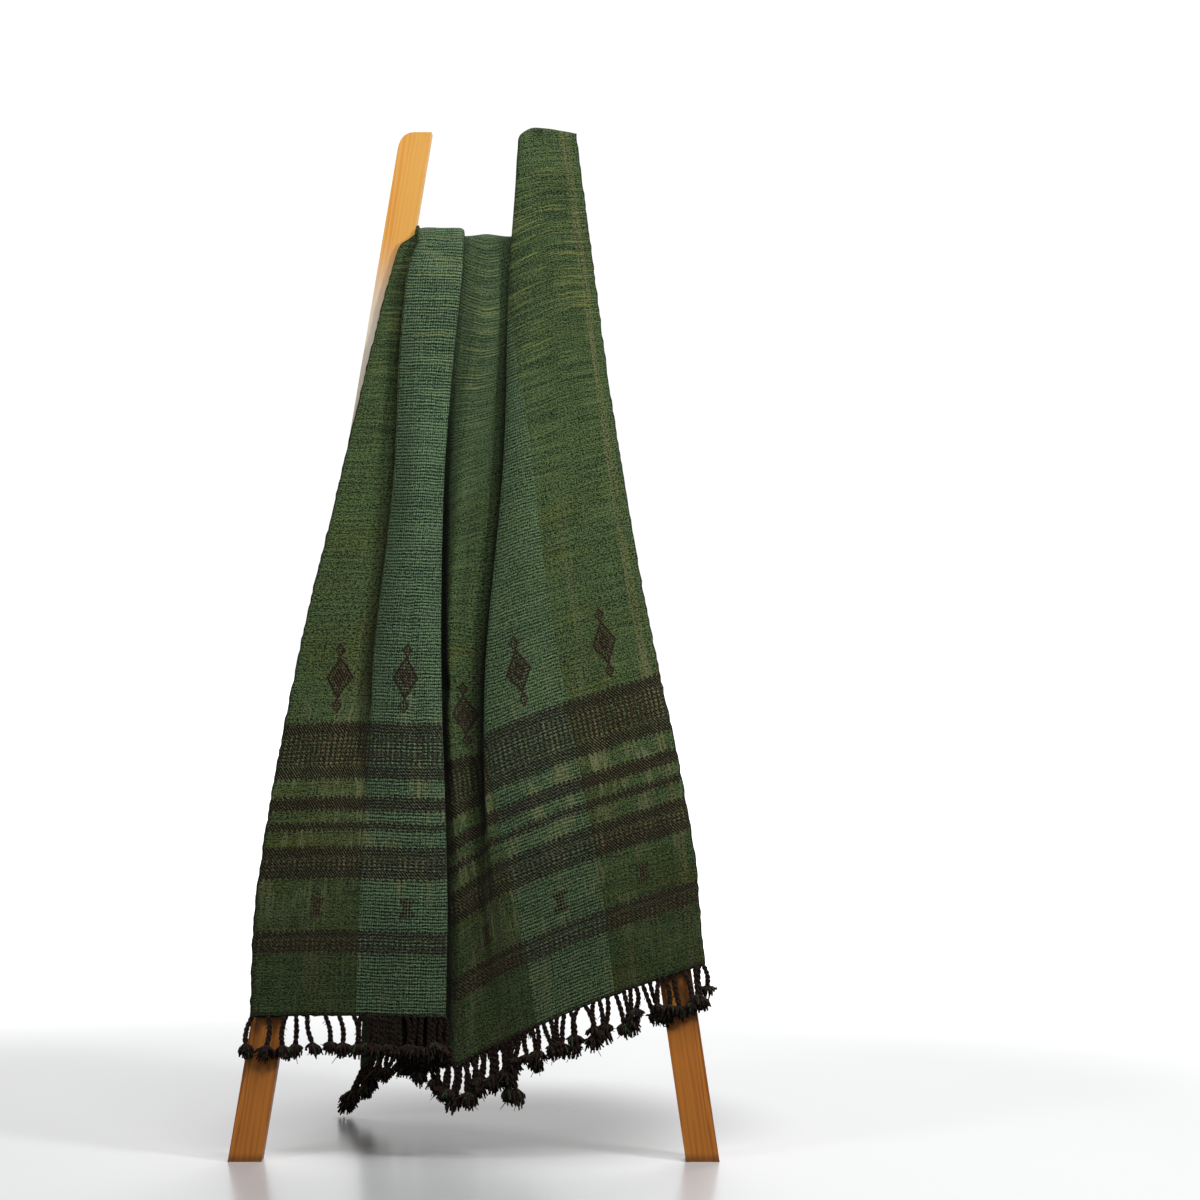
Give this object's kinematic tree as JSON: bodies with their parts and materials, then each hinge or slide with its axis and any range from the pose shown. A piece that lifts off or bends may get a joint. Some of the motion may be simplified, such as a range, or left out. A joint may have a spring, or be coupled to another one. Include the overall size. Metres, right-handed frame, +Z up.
{
  "type": "wool throw blanket on a leaning wooden ladder",
  "caption": "Narrow hand-woven wool throw with a tasselled fringe, pleated over the top rung and one rail end of a plain tapered wooden ladder, falling to both sides.",
  "frame": {"origin": "middle of the part's box on the floor", "axes": "+Z up, +X to the right seen from the front, the ladder's front and the throw's front fall face -Y"},
  "size_m": [0.615, 0.3848, 1.3447],
  "materials": {
    "ladder_wood": "varnished pine, satin",
    "throw_wool": "hand-woven wool, matt, with dark brown borders",
    "fringe_yarn": "twisted wool yarn, matt"
  },
  "bodies": {
    "root": {"rail_left": "ladder_wood", "rail_right": "ladder_wood", "rung_1": "ladder_wood", "rung_2": "ladder_wood", "rung_3": "ladder_wood", "rung_4": "ladder_wood", "throw": "throw_wool", "fringe_front": "fringe_yarn", "fringe_back": "fringe_yarn"}
  },
  "joints": []
}
